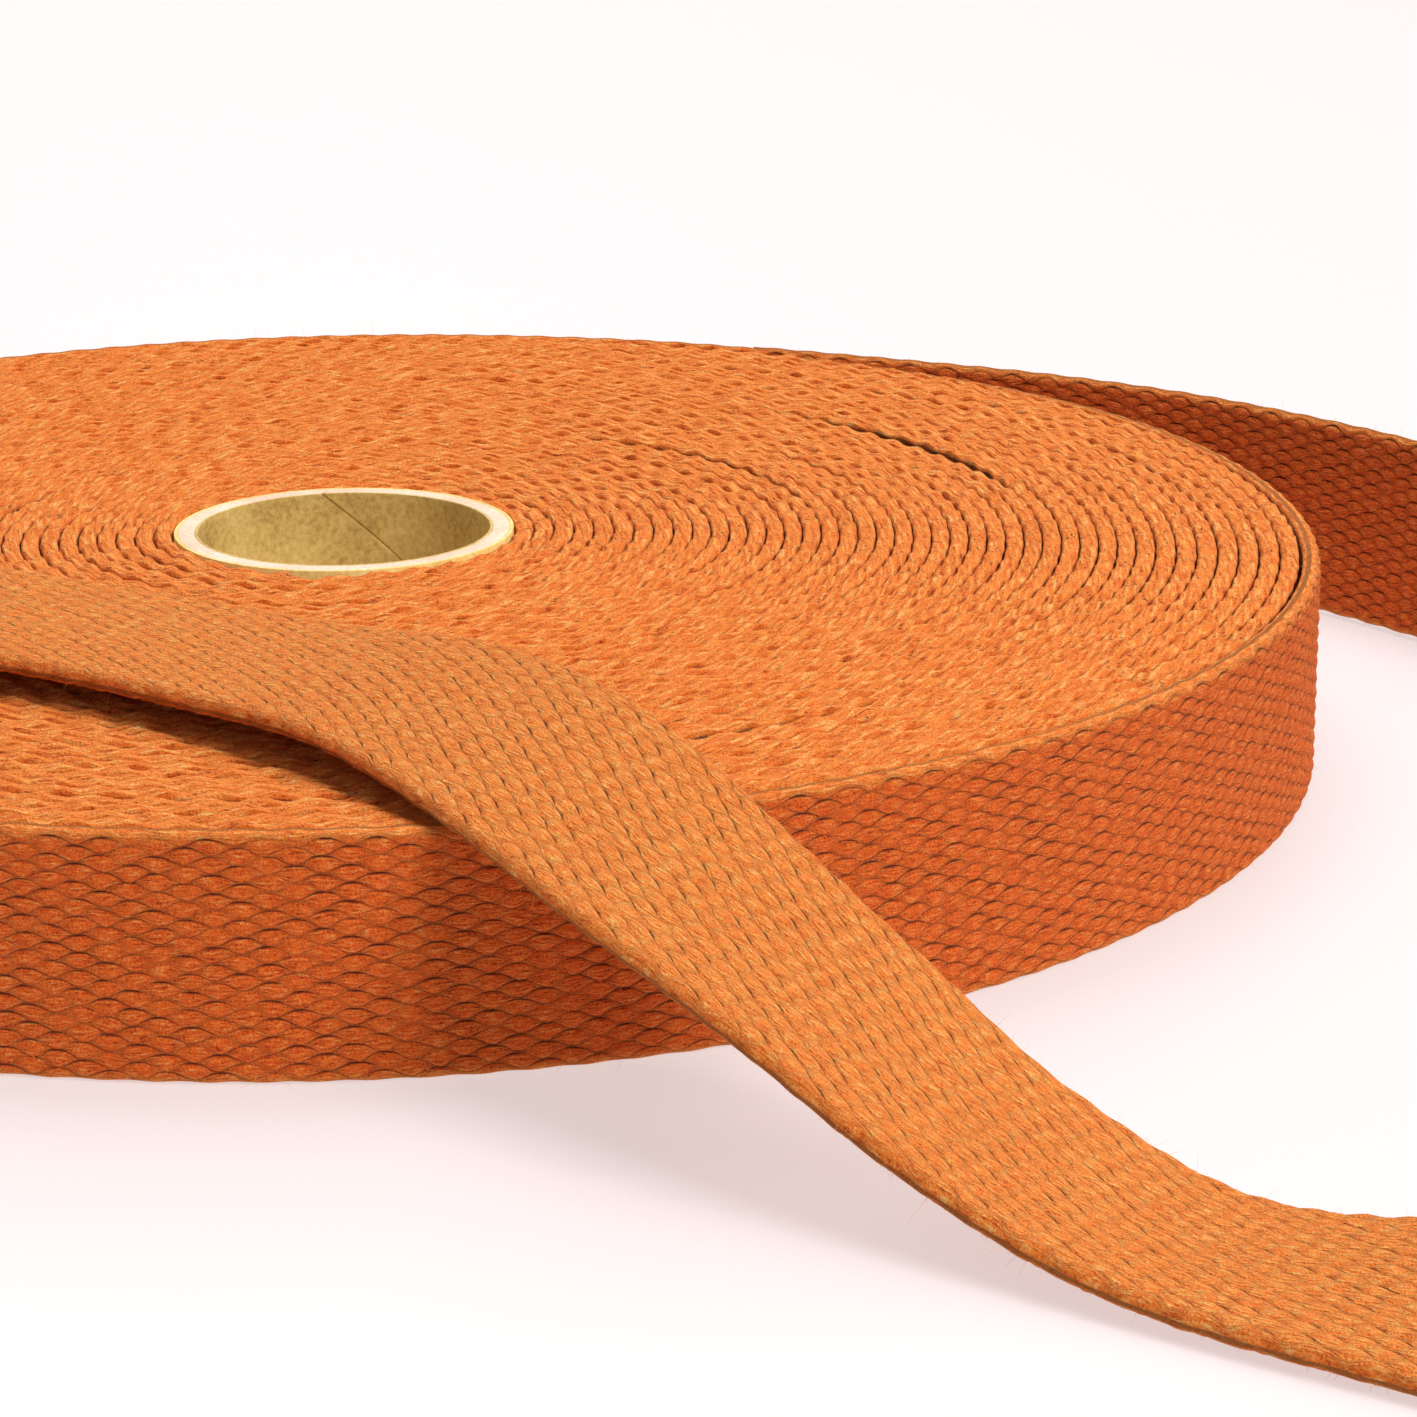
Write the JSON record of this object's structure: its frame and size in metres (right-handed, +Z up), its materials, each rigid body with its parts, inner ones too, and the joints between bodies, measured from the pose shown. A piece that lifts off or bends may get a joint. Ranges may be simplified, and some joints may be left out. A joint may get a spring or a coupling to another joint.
{
  "type": "webbing roll",
  "caption": "Roll of woven cotton webbing on a board core, lying flat, with its free tail looped round and laid across the top.",
  "frame": {"origin": "on the core's axis, at the bottom face of the roll", "axes": "+Z up along the core's axis; +Y towards the side where the tail leaves the roll; the tail's loop lies to +X"},
  "size_m": [0.37, 0.371, 0.04],
  "materials": {
    "webbing": "rust orange woven cotton, slightly fuzzy",
    "kraft_liner": "matte brown kraft paper",
    "core_board": "matte cut board edge",
    "core_cover": "matte pale paper"
  },
  "bodies": {
    "wound_roll": {"first_turn": "webbing", "inner_turns": "webbing", "middle_turns": "webbing", "outer_turns": "webbing"},
    "core": {"core_liner": "kraft_liner", "core_board_ply_1": "core_board", "core_board_ply_2": "core_board", "core_board_ply_3": "core_board", "core_board_ply_4": "core_board", "core_cover": "core_cover"},
    "free_end": {"outermost_turn": "webbing", "free_tail": "webbing"}
  },
  "joints": [
    {"name": "core_push_out", "type": "slide", "parent": "wound_roll", "child": "core", "axis": [0, 0, 1], "range_m": [0, 0.03]},
    {"name": "tail_round_roll", "type": "hinge", "parent": "wound_roll", "child": "free_end", "pos_m": [0, 0, 0.015], "axis": [0, 0, 1], "continuous": true}
  ]
}
